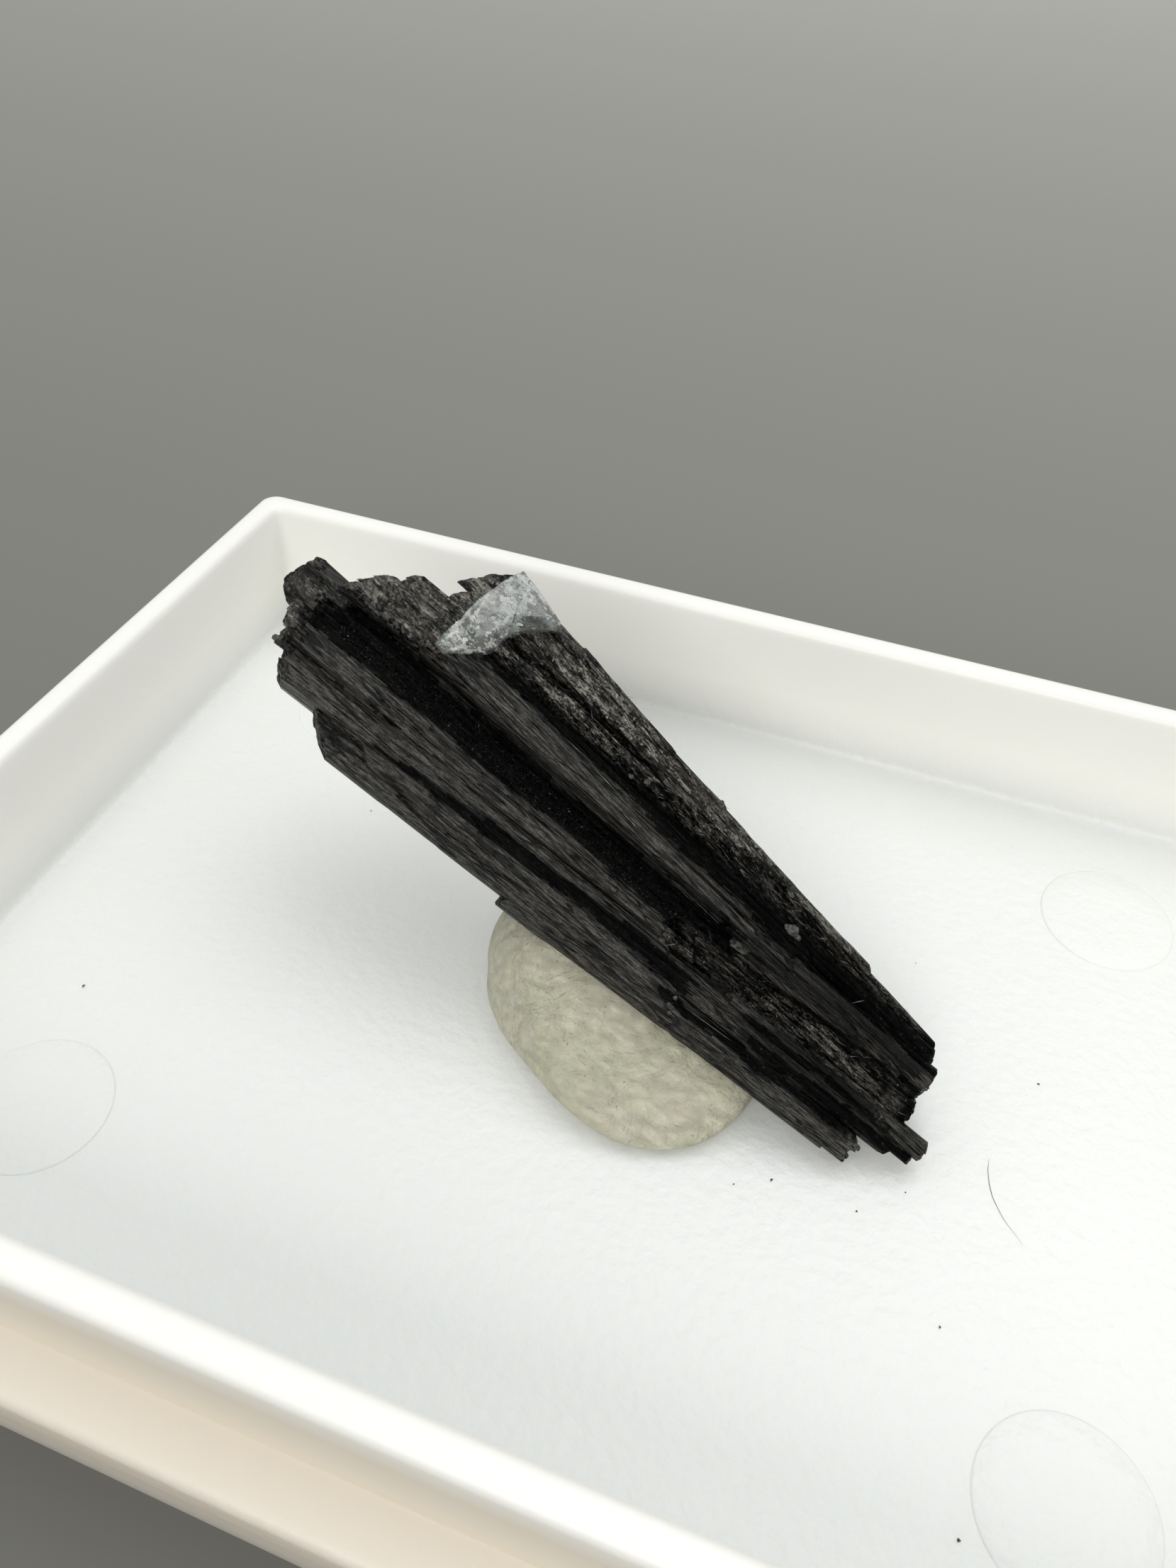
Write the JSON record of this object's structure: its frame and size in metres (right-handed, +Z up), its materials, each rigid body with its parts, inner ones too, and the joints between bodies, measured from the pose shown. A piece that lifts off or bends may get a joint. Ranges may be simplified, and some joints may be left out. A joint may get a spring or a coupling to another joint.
{
  "type": "schorl specimen",
  "caption": "Fan of black schorl prisms with a clear aquamarine crystal, held at a slant by a lump of mineral tack in a white moulded box tray.",
  "frame": {"origin": "middle of the tray's flat underside", "axes": "+X along the tray's long side, towards the specimen's thin low end; +Y to the tray's back; +Z up"},
  "size_m": [0.051, 0.038, 0.016],
  "materials": {
    "tray_plastic": "white moulded polystyrene, satin, with a fine orange-peel floor",
    "tack": "cream mineral tack, matt and slightly greasy, with small dark specks",
    "schorl": "black tourmaline, glossy striated faces and dull rough breaks",
    "aquamarine": "clear pale blue beryl, broken faces"
  },
  "bodies": {
    "root": {"tray": "tray_plastic", "mineral_tack": "tack", "schorl": "schorl", "aquamarine": "aquamarine"}
  },
  "joints": []
}
